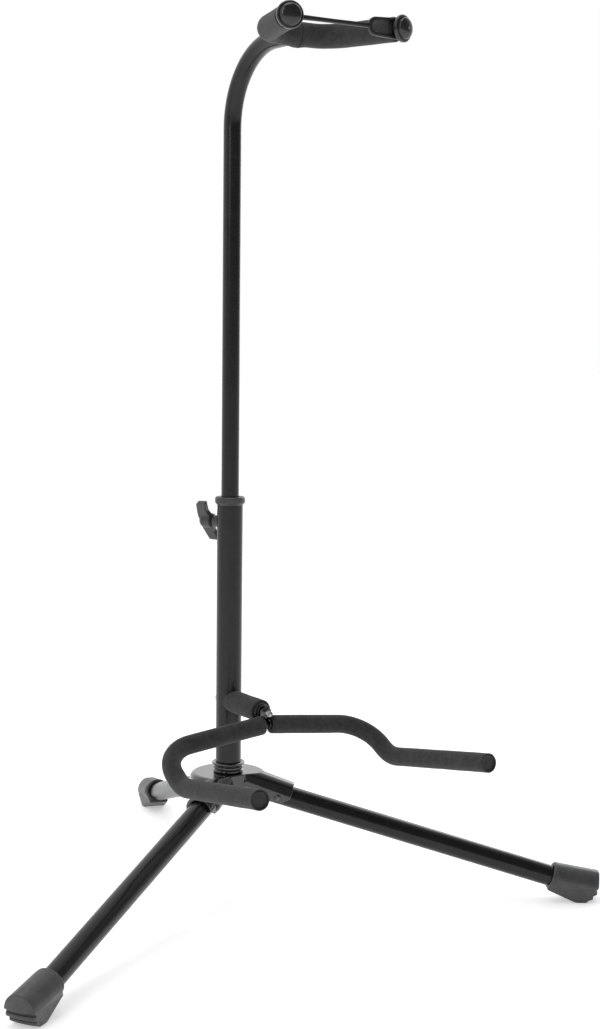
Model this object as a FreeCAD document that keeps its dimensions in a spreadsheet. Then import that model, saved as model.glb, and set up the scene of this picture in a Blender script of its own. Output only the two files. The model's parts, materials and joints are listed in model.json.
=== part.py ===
"""Tubular tripod guitar stand: folding three-leg base, telescopic mast, padded cradle and neck yoke.

Frame: +Z up, the front (the side that holds the guitar) faces -Y, the origin lies on the floor under
the middle of the stand's bounding box. The post's own axis stands at (0, post_y).
"""
import FreeCAD, Part
import math
import os

from FreeCAD import Placement, Rotation, Vector

X_AXIS = Vector(1, 0, 0)
Y_AXIS = Vector(0, 1, 0)
Z_AXIS = Vector(0, 0, 1)

doc = FreeCAD.newDocument("GuitarStand")
sheet = doc.addObject("Spreadsheet::Sheet", "Size")

SIZES = {
    # post
    "post_y": -52.584, "post_r": 12.7, "post_bore_r": 11.4, "post_bottom_z": 131.0, "post_top_z": 399.8,
    # telescopic mast with its top bend
    "mast_r": 8.65, "mast_bore_r": 7.65, "mast_bottom_z": 256.0, "mast_top_z": 840.0,
    "mast_bend_r": 75.0, "yoke_y": 112.0,
    "bush_r": 11.2, "bush_length": 22.0, "bush_spigot_r": 7.6, "bush_spigot_length": 14.0,
    "bush_gap": 0.3,
    # collar that the mast slides through
    "collar_r": 14.9, "collar_lip": 5.6, "collar_height": 8.2, "collar_bore_r": 8.7,
    "collar_sleeve": 8.0, "collar_dish": 1.2,
    # clutch: threaded boss, stud and wing knob on the post's back
    "clutch_z": 382.6, "clutch_turn": 25.0, "boss_r": 5.8, "boss_end": 18.6, "boss_bore_r": 3.1,
    "stud_r": 3.0, "stud_start": 8.95, "stud_end": 31.0,
    "knob_start": 19.6, "knob_end": 35.0, "knob_r": 7.4, "wing_span": 46.0, "wing_thick": 5.0,
    "wing_tip_in": 20.5, "wing_tip_out": 31.5, "wing_tilt": 33.0,
    # hub
    "hub_r": 38.5, "hub_top_z": 131.0, "hub_wall": 2.2, "hub_depth": 14.0, "hub_round": 5.0,
    "hub_front": 20.0,
    "bead_r": 15.1, "bead_top_r": 16.6, "bead_height": 3.5, "bead_waist": 13.9,
    "plug_height": 16.0, "hub_bolt_r": 4.0, "hub_bolt_head_r": 7.5, "hub_bolt_head": 5.3,
    "hub_washer_r": 11.0, "hub_washer": 1.6,
    # legs
    "leg_slope": 16.9, "leg_axis_z": 123.9, "leg_r": 10.5, "leg_bore_r": 9.5,
    "leg_start": 39.0, "leg_end": 380.0, "front_leg_turn": 58.0, "rear_leg_turn": 163.7,
    "pivot_reach": 52.0, "pivot_drop": 1.2, "leg_nose_r": 11.4,
    "rivet_r": 2.5, "rivet_hole_r": 2.56, "rivet_head_r": 3.4, "rivet_head": 1.6,
    "channel_r": 14.2, "channel_bore_r": 11.2, "channel_start": 16.0, "channel_end": 65.0,
    "cheek_start": 24.0, "cheek_drop": 5.2, "mouth_slant": 40.0,
    "mouth_run": 7.0, "mouth_depth": 15.0, "ridge_tilt": 3.5, "ridge_lift": 0.8,
    # feet
    "foot_rim": 343.8, "foot_half_width": 15.2, "foot_sole_half": 13.2, "foot_rim_tube": 2.3,
    "foot_rim_r": 12.3, "foot_slope": 10.4, "foot_axis_z": 83.6,
    # cradle bolt and spacer
    "bolt_z": 204.0, "bolt_r": 3.0, "bolt_hole_r": 3.1, "bolt_head_r": 7.6, "bolt_head": 5.0,
    "bolt_tip": 79.0, "spacer_r": 6.0, "spacer_foam_r": 11.0, "spacer_end": 61.6,
    "washer_r": 8.2, "washer": 1.6, "nut_r": 5.77, "nut": 5.0, "nut_collar": 2.0, "nut_collar_r": 4.6,
    # cradle
    "tab_back": 63.3, "tab": 3.2, "tab_half_width": 6.5, "tab_top_z": 211.0, "tab_bottom_z": 187.0,
    "cradle_rod_r": 4.75, "cradle_rod_gap": 1.0, "cradle_foam_r": 9.0, "cradle_z": 193.0,
    "cradle_half_width": 116.0, "cradle_shoulder_z": 180.0, "cradle_dip_y": 114.0,
    "cradle_dip_z": 156.0, "cradle_tip_x": 123.6, "cradle_tip_y": 258.7, "cradle_tip_z": 179.5,
    "cradle_bend_r": 34.0, "cradle_foam_gap": 3.2, "tip_plug_r": 7.7, "tip_plug": 4.0,
    "tip_plug_inset": 1.0,
    # yoke
    "yoke_rod_r": 4.75, "yoke_foam_r": 11.0, "yoke_half_width": 34.0, "yoke_tip_x": 57.3,
    "yoke_tip_y": 185.6, "yoke_bend_r": 26.0, "cap_neck_r": 6.2, "cap_neck": 6.0,
    "cap_flange_r": 12.1, "cap_flange": 4.4, "cap_dome_r": 9.6, "cap_dome": 4.6, "cap_bore": 8.0,
    # elastic neck strap
    "strap_thick": 3.4, "strap_band": 4.6, "strap_ring_r": 9.6, "strap_loop_half": 8.4,
    "strap_loop_start": 25.0, "strap_hole_half": 4.4,
}

for row, (alias, value) in enumerate(SIZES.items(), start=1):
    sheet.set(f"A{row}", alias)
    sheet.set(f"B{row}", str(value))
    sheet.setAlias(f"B{row}", alias)
doc.recompute()


def size(alias):
    """The sheet's value of one driving dimension."""
    return float(sheet.get(alias))


def bind(item, **rules):
    """Bind properties to the sheet; PositionX stands for Placement.Base.x and so on."""
    for name, rule in rules.items():
        path = name.replace("Position", "Placement.Base.").replace(".X", ".x")
        item.setExpression(path.replace(".Y", ".y").replace(".Z", ".z"), rule)
    return item


def cylinder(name, radius, height):
    return bind(doc.addObject("Part::Cylinder", name), Radius=radius, Height=height)


def block(name, length, width, height):
    return bind(doc.addObject("Part::Box", name), Length=length, Width=width, Height=height)


def fuse(name, shapes):
    joined = doc.addObject("Part::MultiFuse", name)
    joined.Shapes = shapes
    joined.Refine = True
    return joined


def cut(name, base, tool):
    result = doc.addObject("Part::Cut", name)
    result.Base = base
    result.Tool = tool
    return result


def common(name, shapes):
    result = doc.addObject("Part::MultiCommon", name)
    result.Shapes = shapes
    return result


def body_plane(body, role):
    return next(item for item in body.Origin.OriginFeatures if item.Role == role)


def outline(body, role, corners):
    """Closed polygon sketch in one of the body's planes, each corner held by two sheet rules."""
    import Sketcher
    sketch = body.newObject("Sketcher::SketchObject", body.Name + "Outline")
    sketch.AttachmentSupport = [(body_plane(body, role), "")]
    sketch.MapMode = "FlatFace"
    count = len(corners)
    for index in range(count):
        start = index * math.tau / count
        end = (index + 1) * math.tau / count
        sketch.addGeometry(Part.LineSegment(
            Vector(20 * math.cos(start), 20 * math.sin(start), 0),
            Vector(20 * math.cos(end), 20 * math.sin(end), 0)))
    for index, (across, along) in enumerate(corners):
        sketch.addConstraint(Sketcher.Constraint("Coincident", index - 1 if index else count - 1, 2, index, 1))
        for kind, rule in (("DistanceX", across), ("DistanceY", along)):
            number = sketch.addConstraint(Sketcher.Constraint(kind, -1, 1, index, 1, 1.0 + index))
            sketch.setExpression(f"Constraints[{number}]", rule)
    return sketch


def turned(name, corners):
    """Body revolved about its own Z axis from a half outline of (radius, height) rules."""
    body = doc.addObject("PartDesign::Body", name)
    sketch = outline(body, "XZ_Plane", corners)
    turn = body.newObject("PartDesign::Revolution", name + "Turn")
    turn.Profile = sketch
    turn.ReferenceAxis = (sketch, ["V_Axis"])
    turn.Angle = 360
    return body


def padded_outline(name, role, corners, width):
    """Body padded to both sides of one of its planes."""
    body = doc.addObject("PartDesign::Body", name)
    sketch = outline(body, role, corners)
    pad = body.newObject("PartDesign::Pad", name + "Pad")
    pad.Profile = sketch
    pad.Midplane = True
    pad.setExpression("Length", width)
    return body


def place(item, label, rotation=Rotation(), height="0"):
    """Label a finished piece; its own frame's origin goes on the post's axis at a height."""
    item.Label = label
    item.Placement.Rotation = rotation
    bind(item, PositionY="Size.post_y", PositionZ=height)
    pieces.append(item)
    return item


pieces = []
BACKWARD = Rotation(Z_AXIS, size("clutch_turn")) * Rotation(X_AXIS, -90)
FORWARD = Rotation(X_AXIS, 90)
LEG_TURNS = {
    "left": -size("front_leg_turn"),
    "right": size("front_leg_turn"),
    "rear": size("rear_leg_turn"),
}


def outward(turn):
    """Rotation that lays a local +X along a leg's direction; turn 0 points to the front."""
    return Rotation(Z_AXIS, turn - 90)


def down_leg(turn):
    """Rotation of a leg's sloping frame: +X down the leg, +Z square to it."""
    return outward(turn) * Rotation(Y_AXIS, size("leg_slope"))


def along_x(name, radius, start, end):
    """Cylinder lying along +X between two rules."""
    rod = cylinder(name, radius, f"{end} - ({start})")
    rod.Placement.Rotation = Rotation(Y_AXIS, 90)
    return bind(rod, PositionX=start)


def along_y(name, radius, reach):
    """Cylinder lying along Y, centred on the origin."""
    rod = cylinder(name, radius, f"2 * ({reach})")
    rod.Placement.Rotation = Rotation(X_AXIS, -90)
    return bind(rod, PositionY=f"-({reach})")


def upright(name, radius, low, high):
    rod = cylinder(name, radius, f"{high} - ({low})")
    return bind(rod, PositionZ=low)


# ---------------------------------------------------------------- post

def post_tube():
    wall = upright("PostOuter", "Size.post_r", "Size.post_bottom_z", "Size.post_top_z")
    bore = upright("PostBore", "Size.post_bore_r", "Size.post_bottom_z - 1", "Size.post_top_z + 1")
    bolt = along_y("PostBoltHole", "Size.bolt_hole_r", "Size.post_r + 1")
    bind(bolt, PositionZ="Size.bolt_z")
    stud = cylinder("PostStudHole", "Size.boss_bore_r", "Size.post_r + 1")
    stud.Placement.Rotation = BACKWARD
    bind(stud, PositionZ="Size.clutch_z")
    place(cut("PostTube", wall, fuse("PostHoles", [bore, bolt, stud])), "lower_tube")


def height_collar():
    lip = "Size.collar_height - Size.collar_lip"
    collar = turned("HeightCollar", [
        ("Size.collar_bore_r", "-Size.collar_sleeve"),
        ("Size.post_bore_r - 0.05", "-Size.collar_sleeve"),
        ("Size.post_bore_r - 0.05", "0"),
        ("Size.post_r + 0.1", "0"),
        ("Size.collar_r", lip),
        ("Size.collar_r", "Size.collar_height - 0.9"),
        ("Size.collar_r - 0.9", "Size.collar_height"),
        ("Size.collar_bore_r + 2", "Size.collar_height"),
        ("Size.collar_bore_r", "Size.collar_height - Size.collar_dish"),
    ])
    place(collar, "height_collar", height="Size.post_top_z")


def base_collar():
    """Sleeve round the post's foot with three rolled beads, the top one widest."""
    rings = [cylinder("BeadCore", "Size.bead_waist", "3 * Size.bead_height")]
    for index, outer in enumerate(("Size.bead_r", "Size.bead_r", "Size.bead_top_r")):
        ring = bind(doc.addObject("Part::Torus", f"Bead{index + 1}"),
                    Radius1=f"{outer} - Size.bead_height / 2", Radius2="Size.bead_height / 2",
                    PositionZ=f"({index} + 0.5) * Size.bead_height")
        rings.append(ring)
    hole = upright("BeadHole", "Size.post_r", "-1", "3 * Size.bead_height + 1")
    place(cut("BaseCollar", fuse("BeadStack", rings), hole), "base_collar", height="Size.hub_top_z")


def hub_fixing():
    """Threaded plug in the tube's foot, and the washer and bolt that hold it down to the hub."""
    plug = cylinder("PlugBody", "Size.post_bore_r", "Size.plug_height")
    thread = upright("PlugThread", "Size.hub_bolt_r", "-1", "Size.plug_height + 1")
    place(cut("TubePlug", plug, thread), "tube_base_plug", height="Size.post_bottom_z")
    washer = cylinder("HubWasherDisc", "Size.hub_washer_r", "Size.hub_washer")
    hole = upright("HubWasherHole", "Size.hub_bolt_r", "-1", "Size.hub_washer + 1")
    under = "Size.hub_top_z - Size.hub_wall - Size.hub_washer"
    place(cut("HubWasher", washer, hole), "hub_washer", height=under)
    shank = cylinder("HubBoltShank", "Size.hub_bolt_r",
                     "Size.hub_washer + Size.hub_wall + Size.plug_height - 2")
    head = bind(doc.addObject("Part::Prism", "HubBoltHead"), Circumradius="Size.hub_bolt_head_r",
                Height="Size.hub_bolt_head", PositionZ="-Size.hub_bolt_head")
    place(fuse("HubBolt", [shank, head]), "hub_bolt", height=under)


# ---------------------------------------------------------------- hub with its leg channels

def rounded_drum(name, radius, low, high, round_r):
    """Upright cylinder with a rounded top edge."""
    drum = upright(name + "Drum", radius, low, high)
    doc.recompute()
    top = max(range(len(drum.Shape.Edges)), key=lambda index: drum.Shape.Edges[index].CenterOfMass.z)
    rounded = doc.addObject("Part::Fillet", name)
    rounded.Base = drum
    rounded.Edges = [(top + 1, round_r, round_r)]
    return rounded


def flat_front(name, drum, reach):
    """Drum cut off flat between the two front legs."""
    front = block(name + "Front", "4 * Size.hub_r", "2 * Size.hub_r", "4 * Size.hub_r")
    bind(front, PositionX="-2 * Size.hub_r", PositionY=f"-({reach}) - 2 * Size.hub_r")
    return cut(name, drum, front)


def channel_outer(name, turn):
    """Outside of one leg's channel: round back rising towards the post, two cheeks, slanted mouth."""
    back = along_x(name + "Back", "Size.channel_r", "Size.channel_start", "Size.channel_end")
    crest = along_x(name + "Crest", "Size.channel_r", "Size.channel_start - Size.channel_end", "2")
    ridge = doc.addObject("Part::Compound", name + "Ridge")
    ridge.Links = [crest]
    ridge.Placement.Rotation = Rotation(Y_AXIS, size("ridge_tilt"))
    bind(ridge, PositionX="Size.channel_end", PositionZ="Size.ridge_lift")
    floor = block(name + "Under", "Size.channel_end + 20", "4 * Size.channel_r", "2 * Size.channel_r")
    bind(floor, PositionX="-10", PositionY="-2 * Size.channel_r", PositionZ="-2 * Size.channel_r")
    cheeks = block(name + "Cheeks", "Size.channel_end - Size.cheek_start", "2 * Size.channel_r",
                   "Size.cheek_drop")
    bind(cheeks, PositionX="Size.cheek_start", PositionY="-Size.channel_r", PositionZ="-Size.cheek_drop")
    arch = cut(name + "Arch", fuse(name + "Top", [back, ridge]), floor)
    drop = block(name + "Mouth", "30", "4 * Size.channel_r", "Size.mouth_depth")
    drop.Placement.Rotation = Rotation(Y_AXIS, -size("mouth_slant"))
    slant = "Size.mouth_slant * 1deg"
    bind(drop, PositionX=f"Size.channel_end - Size.mouth_run + Size.mouth_depth * sin({slant})",
         PositionY="-2 * Size.channel_r",
         PositionZ=f"-Size.cheek_drop - Size.mouth_depth * cos({slant})")
    end = block(name + "End", "10", "4 * Size.channel_r", "4 * Size.channel_r")
    bind(end, PositionX="Size.channel_end", PositionY="-2 * Size.channel_r",
         PositionZ="-2 * Size.channel_r")
    channel = cut(name, fuse(name + "Solid", [arch, cheeks]), fuse(name + "Trim", [drop, end]))
    channel.Placement.Rotation = down_leg(turn)
    return bind(channel, PositionZ="Size.leg_axis_z")


def channel_inner(name, turn):
    """Inside of one leg's channel, open below, with the rivet's hole through the cheeks."""
    tunnel = along_x(name + "Tunnel", "Size.channel_bore_r", "Size.channel_start + 2",
                     "Size.channel_end + 5")
    slot = block(name + "Slot", "Size.channel_end + 3 - Size.channel_start", "2 * Size.channel_bore_r",
                 "30")
    bind(slot, PositionX="Size.channel_start + 2", PositionY="-Size.channel_bore_r", PositionZ="-30")
    rivet = along_y(name + "RivetHole", "Size.rivet_r", "Size.channel_r + 2")
    bind(rivet, PositionX="Size.pivot_reach", PositionZ="-Size.pivot_drop")
    inner = fuse(name, [tunnel, slot, rivet])
    inner.Placement.Rotation = down_leg(turn)
    return bind(inner, PositionZ="Size.leg_axis_z")


def leg_housing():
    low = "Size.hub_top_z - Size.hub_depth"
    outer = rounded_drum("HubOuter", "Size.hub_r", low, "Size.hub_top_z", size("hub_round"))
    inner = rounded_drum("HubInner", "Size.hub_r - Size.hub_wall", low + " - 5",
                         "Size.hub_top_z - Size.hub_wall", size("hub_round") - size("hub_wall"))
    shell = [flat_front("HubPlate", outer, "Size.hub_front")]
    hollow = [
        flat_front("HubRoom", inner, "Size.hub_front - Size.hub_wall"),
        upright("HubBoltHole", "Size.hub_bolt_r", low, "Size.hub_top_z + 1"),
        upright("HubTopTrim", "2 * Size.hub_r", "Size.hub_top_z", "Size.hub_top_z + 20"),
    ]
    for side, turn in LEG_TURNS.items():
        shell.append(channel_outer("Channel" + side.title(), turn))
        hollow.append(channel_inner("Hollow" + side.title(), turn))
    place(cut("LegHousing", fuse("HousingShell", shell), fuse("HousingHollow", hollow)), "leg_housing")


def leg_rivets():
    rivets = []
    for side, turn in LEG_TURNS.items():
        name = "Rivet" + side.title()
        shank = along_y(name + "Shank", "Size.rivet_r", "Size.channel_r")
        heads = []
        for index, sign in enumerate(("1", "-1")):
            head = cylinder(f"{name}Head{index + 1}", "Size.rivet_head_r", "Size.rivet_head")
            head.Placement.Rotation = Rotation(X_AXIS, -90 if index == 0 else 90)
            heads.append(bind(head, PositionY=f"{sign} * Size.channel_r"))
        rivet = fuse(name, [shank] + heads)
        turned_frame = down_leg(turn)
        offset = turned_frame.multVec(Vector(size("pivot_reach"), 0, -size("pivot_drop")))
        rivet.Placement = Placement(offset + Vector(0, 0, size("leg_axis_z")), turned_frame)
        rivets.append(rivet)
    group = doc.addObject("Part::Compound", "LegRivets")
    group.Links = rivets
    place(group, "leg_rivets")


# ---------------------------------------------------------------- legs

def leg_tube(side, turn):
    """Straight tube whose inner end is trimmed round about the rivet, so that it can fold down."""
    name = "Leg" + side.title()
    wall = along_x(name + "Outer", "Size.leg_r", "Size.leg_start", "Size.leg_end")
    bore = along_x(name + "Bore", "Size.leg_bore_r", "Size.leg_start - 5", "Size.leg_end + 1")
    hole = along_y(name + "Hole", "Size.rivet_hole_r", "Size.leg_r + 2")
    bind(hole, PositionX="Size.pivot_reach", PositionZ="-Size.pivot_drop")
    nose = bind(doc.addObject("Part::Sphere", name + "Nose"), Radius="Size.leg_nose_r",
                PositionX="Size.pivot_reach", PositionZ="-Size.pivot_drop")
    rest = block(name + "Rest", "Size.leg_end", "4 * Size.leg_r", "4 * Size.leg_r")
    bind(rest, PositionX="Size.pivot_reach", PositionY="-2 * Size.leg_r", PositionZ="-2 * Size.leg_r")
    keep = fuse(name + "Keep", [nose, rest])
    tube = cut(name + "Tube", common(name + "Solid", [wall, keep]), fuse(name + "Holes", [bore, hole]))
    place(tube, f"leg_tube_{side}", down_leg(turn), "Size.leg_axis_z")


def foot_profile(name):
    """Side view of a rubber foot: (reach from the post's axis, height)."""
    return padded_outline(name, "XZ_Plane", [
        ("323", "12.4"), ("352", "0"), ("362", "0"), ("368.4", "3.2"), ("372.8", "9"),
        ("375.4", "14.5"), ("376.6", "21"), ("376.4", "27"), ("374.5", "29.8"), ("332.8", "37.8"),
    ], "3 * Size.foot_half_width")


def foot(side, turn):
    """Rubber boot: flat sole, round back and toe, rolled rim where the leg goes in."""
    name = "Foot" + side.title()
    barrel = along_x(name + "Barrel", "Size.foot_half_width", "310", "400")
    skirt = block(name + "Skirt", "90", "2 * Size.foot_sole_half", "40")
    bind(skirt, PositionX="310", PositionY="-Size.foot_sole_half", PositionZ="-40")
    envelope = fuse(name + "Envelope", [barrel, skirt])
    envelope.Placement.Rotation = Rotation(Y_AXIS, size("foot_slope"))
    bind(envelope, PositionZ="Size.foot_axis_z")
    boot = common(name + "Boot", [foot_profile(name + "Side"), envelope])
    slope = Rotation(Y_AXIS, size("leg_slope"))
    rim = bind(doc.addObject("Part::Torus", name + "Rim"), Radius1="Size.foot_rim_r",
               Radius2="Size.foot_rim_tube")
    rim.Placement.Rotation = Rotation(Y_AXIS, 90)
    bind(rim, PositionX="Size.foot_rim")
    ring = doc.addObject("Part::Compound", name + "RimSlope")
    ring.Links = [rim]
    ring.Placement.Rotation = slope
    bind(ring, PositionZ="Size.leg_axis_z")
    socket = along_x(name + "Socket", "Size.leg_r", "Size.foot_rim - 20", "Size.leg_end")
    socket_slope = doc.addObject("Part::Compound", name + "SocketSlope")
    socket_slope.Links = [socket]
    socket_slope.Placement.Rotation = slope
    bind(socket_slope, PositionZ="Size.leg_axis_z")
    place(cut(name, fuse(name + "Solid", [boot, ring]), socket_slope), f"foot_{side}", outward(turn))


# ---------------------------------------------------------------- mast

def bent_mast(name, radius, low, front):
    """Straight post, a quarter bend to the front and a short level run."""
    bend = "Size.mast_bend_r"
    stem = upright(name + "Stem", radius, low, f"Size.mast_top_z - {bend}")
    elbow = bind(doc.addObject("Part::Torus", name + "Elbow"), Radius1=bend, Radius2=radius)
    elbow.Angle3 = 90
    elbow.Placement.Rotation = Rotation(Z_AXIS, 90) * Rotation(X_AXIS, 90)
    bind(elbow, PositionY=f"-{bend}", PositionZ=f"Size.mast_top_z - {bend}")
    run = cylinder(name + "Run", radius, f"{front} - {bend}")
    run.Placement.Rotation = FORWARD
    bind(run, PositionY=f"-{bend}", PositionZ="Size.mast_top_z")
    return fuse(name, [stem, elbow, run])


def mast_tube(rod):
    low = "Size.mast_bottom_z"
    outer = bent_mast("MastOuter", "Size.mast_r", low, "Size.yoke_y - 2")
    inner = bent_mast("MastInner", "Size.mast_bore_r", low + " - 1", "Size.yoke_y - 1")
    rod_copy = doc.addObject("Part::Feature", "MastCope")
    rod_copy.Shape = rod
    place(cut("MastTube", outer, fuse("MastHollow", [inner, rod_copy])), "mast_tube")
    return outer


def glide_bush():
    body = cylinder("BushBody", "Size.bush_r", "Size.bush_length")
    spigot = upright("BushSpigot", "Size.bush_spigot_r", "0",
                     "Size.bush_length + Size.bush_gap + Size.bush_spigot_length")
    place(fuse("GlideBush", [body, spigot]), "glide_bush",
          height="Size.mast_bottom_z - Size.bush_gap - Size.bush_length")


# ---------------------------------------------------------------- clutch

def saddle(name):
    """The post's round side, as a tool for pieces that butt against it."""
    tool = along_y(name, "Size.post_r", "3 * Size.post_r")
    tool.Placement.Rotation = Rotation(X_AXIS, -90)
    return tool


def clutch():
    boss = upright("BossBody", "Size.boss_r", "0", "Size.boss_end")
    thread = upright("BossThread", "Size.boss_bore_r", "-1", "Size.boss_end + 1")
    place(cut("ClutchBoss", boss, fuse("BossCut", [thread, saddle("BossSaddle")])),
          "clutch_boss", BACKWARD, "Size.clutch_z")
    stud = turned("ClutchStud", [
        ("0", "Size.stud_start"), ("Size.stud_r - 0.8", "Size.stud_start"),
        ("Size.stud_r", "Size.stud_start + 0.8"), ("Size.stud_r", "Size.stud_end"),
        ("0", "Size.stud_end"),
    ])
    place(stud, "clutch_stud", BACKWARD, "Size.clutch_z")
    barrel = turned("KnobBarrel", [
        ("0", "Size.knob_start"), ("Size.knob_r - 0.8", "Size.knob_start"),
        ("Size.knob_r", "Size.knob_start + 0.8"), ("Size.knob_r", "Size.knob_end - 2"),
        ("Size.knob_r - 2", "Size.knob_end"), ("0", "Size.knob_end"),
    ])
    tip = "Size.wing_span / 2"
    low, high = "Size.wing_tip_in", "Size.wing_tip_out"
    wings = padded_outline("KnobWings", "XZ_Plane", [
        ("-Size.knob_r + 1", low), (f"-{tip} + 11", low + " + 1.8"), (f"-{tip}", low),
        (f"-{tip} - 0.2", low + " + 6"), (f"-{tip} + 2.6", high), ("-8", high + " + 2.6"),
        ("8", high + " + 2.6"), (f"{tip} - 2.6", high), (f"{tip} + 0.2", low + " + 6"),
        (tip, low), (f"{tip} - 11", low + " + 1.8"), ("Size.knob_r - 1", low),
    ], "Size.wing_thick")
    bore = upright("KnobBore", "Size.stud_r + 0.05", "Size.knob_start - 1", "Size.stud_end + 0.3")
    tilt = Rotation(Z_AXIS, 90 - size("wing_tilt"))
    place(cut("WingKnob", fuse("KnobSolid", [barrel, wings]), bore), "wing_knob", BACKWARD * tilt,
          "Size.clutch_z")


# ---------------------------------------------------------------- cradle mounting

def cradle_mounting():
    head = "-Size.post_r"
    bolt = turned("CradleBolt", [
        ("0", f"{head} - Size.bolt_head"), ("0.55 * Size.bolt_head_r", f"{head} - 0.88 * Size.bolt_head"),
        ("0.85 * Size.bolt_head_r", f"{head} - 0.58 * Size.bolt_head"),
        ("Size.bolt_head_r", f"{head} - 0.16 * Size.bolt_head"), ("Size.bolt_head_r", head),
        ("Size.bolt_r", head), ("Size.bolt_r", "Size.bolt_tip - 1"),
        ("Size.bolt_r - 1", "Size.bolt_tip"), ("0", "Size.bolt_tip"),
    ])
    place(bolt, "cradle_bolt", FORWARD, "Size.bolt_z")
    for name, label, inner, outer in (
            ("Spacer", "spacer_tube", "Size.bolt_hole_r", "Size.spacer_r"),
            ("SpacerFoam", "spacer_foam", "Size.spacer_r", "Size.spacer_foam_r")):
        body = upright(name + "Body", outer, "0", "Size.spacer_end")
        hole = upright(name + "Hole", inner, "-1", "Size.spacer_end + 1")
        place(cut(name, body, fuse(name + "Cut", [hole, saddle(name + "Saddle")])), label,
              FORWARD, "Size.bolt_z")
    disc = upright("WasherDisc", "Size.washer_r", "Size.spacer_end", "Size.spacer_end + Size.washer")
    hole = upright("WasherHole", "Size.bolt_r", "Size.spacer_end - 1", "Size.spacer_end + 3")
    place(cut("SpacerWasher", disc, hole), "spacer_washer", FORWARD, "Size.bolt_z")
    seat = "Size.tab_back + Size.tab + 0.1"
    flats = bind(doc.addObject("Part::Prism", "NutFlats"), Circumradius="Size.nut_r",
                 Height="Size.nut", PositionZ=seat)
    ring = upright("NutCollar", "Size.nut_collar_r", seat, f"{seat} + Size.nut + Size.nut_collar")
    hole = upright("NutHole", "Size.bolt_r", f"{seat} - 1", f"{seat} + 20")
    place(cut("CradleNut", fuse("NutSolid", [flats, ring]), hole), "cradle_nut", FORWARD,
          "Size.bolt_z")


# ---------------------------------------------------------------- bent rods and their sleeves

def bent_path(points, bend_r):
    """Wire of straight runs joined by arcs of one radius."""
    edges = []
    start = points[0]
    for corner, after in zip(points[1:-1], points[2:]):
        before = (start - corner).normalize()
        ahead = (after - corner).normalize()
        half = before.getAngle(ahead) / 2
        reach = bend_r / math.tan(half)
        middle = (before + ahead).normalize()
        centre = corner + middle * (bend_r / math.sin(half))
        enter = corner + before * reach
        leave = corner + ahead * reach
        edges.append(Part.LineSegment(start, enter).toShape())
        edges.append(Part.Arc(enter, centre - middle * bend_r, leave).toShape())
        start = leave
    edges.append(Part.LineSegment(start, points[-1]).toShape())
    return Part.Wire(edges)


def swept(points, bend_r, radius):
    """Solid round bar along a bent path."""
    path = bent_path(points, bend_r)
    direction = (points[1] - points[0]).normalize()
    ring = Part.Wire([Part.makeCircle(radius, points[0], direction)])
    return path.makePipeShell([ring], True, False)


def feature(name, label, shape):
    """Piece whose shape is set directly; it stands in the post's frame."""
    item = doc.addObject("Part::Feature", name)
    item.Shape = shape
    return place(item, label)


def stepped(start, end, step):
    """Point a given way along a straight run."""
    return start + (end - start).normalize() * step


def tube_between(start, end, radius):
    return Part.makeCylinder(radius, (end - start).Length, start, end - start)


def cradle():
    """Two mirrored arms: out to the side, round a double bend, then forward and up to the tip."""
    reach = size("tab_back") + size("tab") + size("cradle_rod_r")
    nut_room = Part.makeCylinder(size("nut_r") + 0.5, 30, Vector(0, -size("tab_back"), size("bolt_z")),
                                 Vector(0, -1, 0))
    washer_room = Part.makeCylinder(size("washer_r") + 0.4, 30, Vector(0, -size("tab_back") + 30,
                                    size("bolt_z")), Vector(0, -1, 0))
    tab_height = size("tab_top_z") - size("tab_bottom_z")
    tab = Part.makeBox(2 * size("tab_half_width"), size("tab"), tab_height,
                       Vector(-size("tab_half_width"), -size("tab_back") - size("tab"),
                              size("tab_bottom_z")))
    for side, sign in (("left", -1), ("right", 1)):
        points = [
            Vector(sign * size("cradle_rod_gap"), -reach, size("cradle_z")),
            Vector(sign * size("cradle_half_width"), -reach, size("cradle_shoulder_z")),
            Vector(sign * (size("cradle_half_width") + 1), -size("cradle_dip_y"), size("cradle_dip_z")),
            Vector(sign * size("cradle_tip_x"), -size("cradle_tip_y"), size("cradle_tip_z")),
        ]
        tip = points[-1]
        plug_front = stepped(tip, points[-2], size("tip_plug_inset"))
        plug_back = stepped(tip, points[-2], size("tip_plug_inset") + size("tip_plug"))
        rod = swept(points[:-1] + [plug_back], size("cradle_bend_r"), size("cradle_rod_r"))
        feature("CradleRod" + side.title(), f"cradle_rod_{side}", rod)
        sleeve_points = [stepped(points[0], points[1], size("cradle_foam_gap"))] + points[1:]
        sleeve = swept(sleeve_points, size("cradle_bend_r"), size("cradle_foam_r"))
        recess = tube_between(plug_back, stepped(tip, points[-2], -2), size("tip_plug_r"))
        for tool in (rod, recess, nut_room, washer_room, tab):
            sleeve = sleeve.cut(tool)
        feature("CradleFoam" + side.title(), f"cradle_foam_{side}", sleeve)
        feature("TipPlug" + side.title(), f"cradle_plug_{side}",
                tube_between(plug_back, plug_front, size("tip_plug_r")))


def cradle_tab():
    """Upright strap that hangs from the bolt and carries the two arms."""
    plate = block("TabPlate", "2 * Size.tab_half_width", "Size.tab", "Size.tab_top_z - Size.tab_bottom_z")
    bind(plate, PositionX="-Size.tab_half_width", PositionY="-Size.tab_back - Size.tab",
         PositionZ="Size.tab_bottom_z")
    hole = along_y("TabHole", "Size.bolt_hole_r", "Size.tab_back + Size.tab + 2")
    bind(hole, PositionZ="Size.bolt_z")
    place(cut("CradleTab", plate, hole), "cradle_tab")


# ---------------------------------------------------------------- neck yoke

def yoke_points():
    level = size("mast_top_z")
    front = [Vector(size("yoke_half_width"), -size("yoke_y"), level),
             Vector(size("yoke_tip_x"), -size("yoke_tip_y"), level)]
    back = [Vector(-point.x, point.y, point.z) for point in reversed(front)]
    return back + front


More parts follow.
